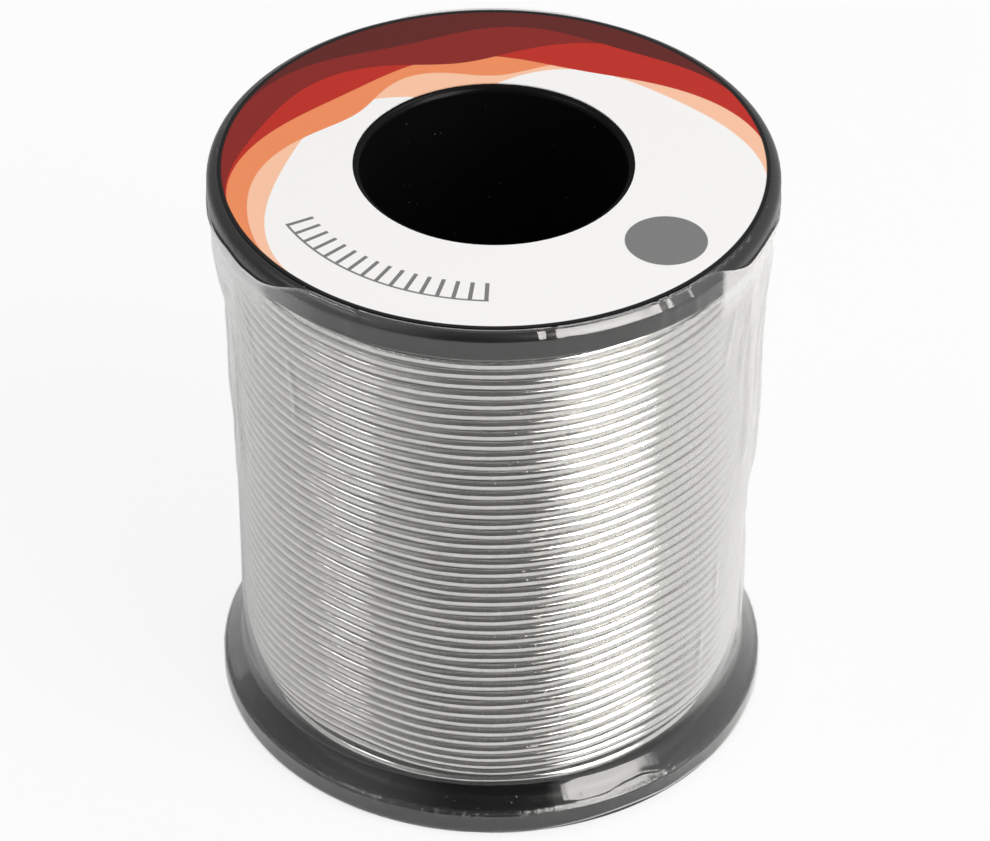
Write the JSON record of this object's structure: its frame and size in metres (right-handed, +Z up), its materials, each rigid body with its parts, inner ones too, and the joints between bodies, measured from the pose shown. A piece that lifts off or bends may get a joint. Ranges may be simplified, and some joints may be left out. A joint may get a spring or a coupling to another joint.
{
  "type": "solder wire spool",
  "caption": "Moulded reel with a central bore, wound with solder wire, with a round top label and a shrunk clear film sleeve.",
  "frame": {"origin": "centre of the lower flange's underside, on the bore's axis", "axes": "+Z up along the bore towards the labelled flange; the hub's starting hole lies 36 degrees from +X towards +Y"},
  "size_m": [0.047, 0.047, 0.0528],
  "materials": {
    "black_plastic": "glossy moulded black polystyrene",
    "solder": "bright drawn tin-lead solder wire",
    "label_paper": "coated printed paper",
    "clear_film": "clear shrunk film with creases"
  },
  "bodies": {
    "root": {"spool": "black_plastic", "inner_turns": "solder", "outer_turns": "solder", "top_label": "label_paper", "film_sleeve": "clear_film"}
  },
  "joints": []
}
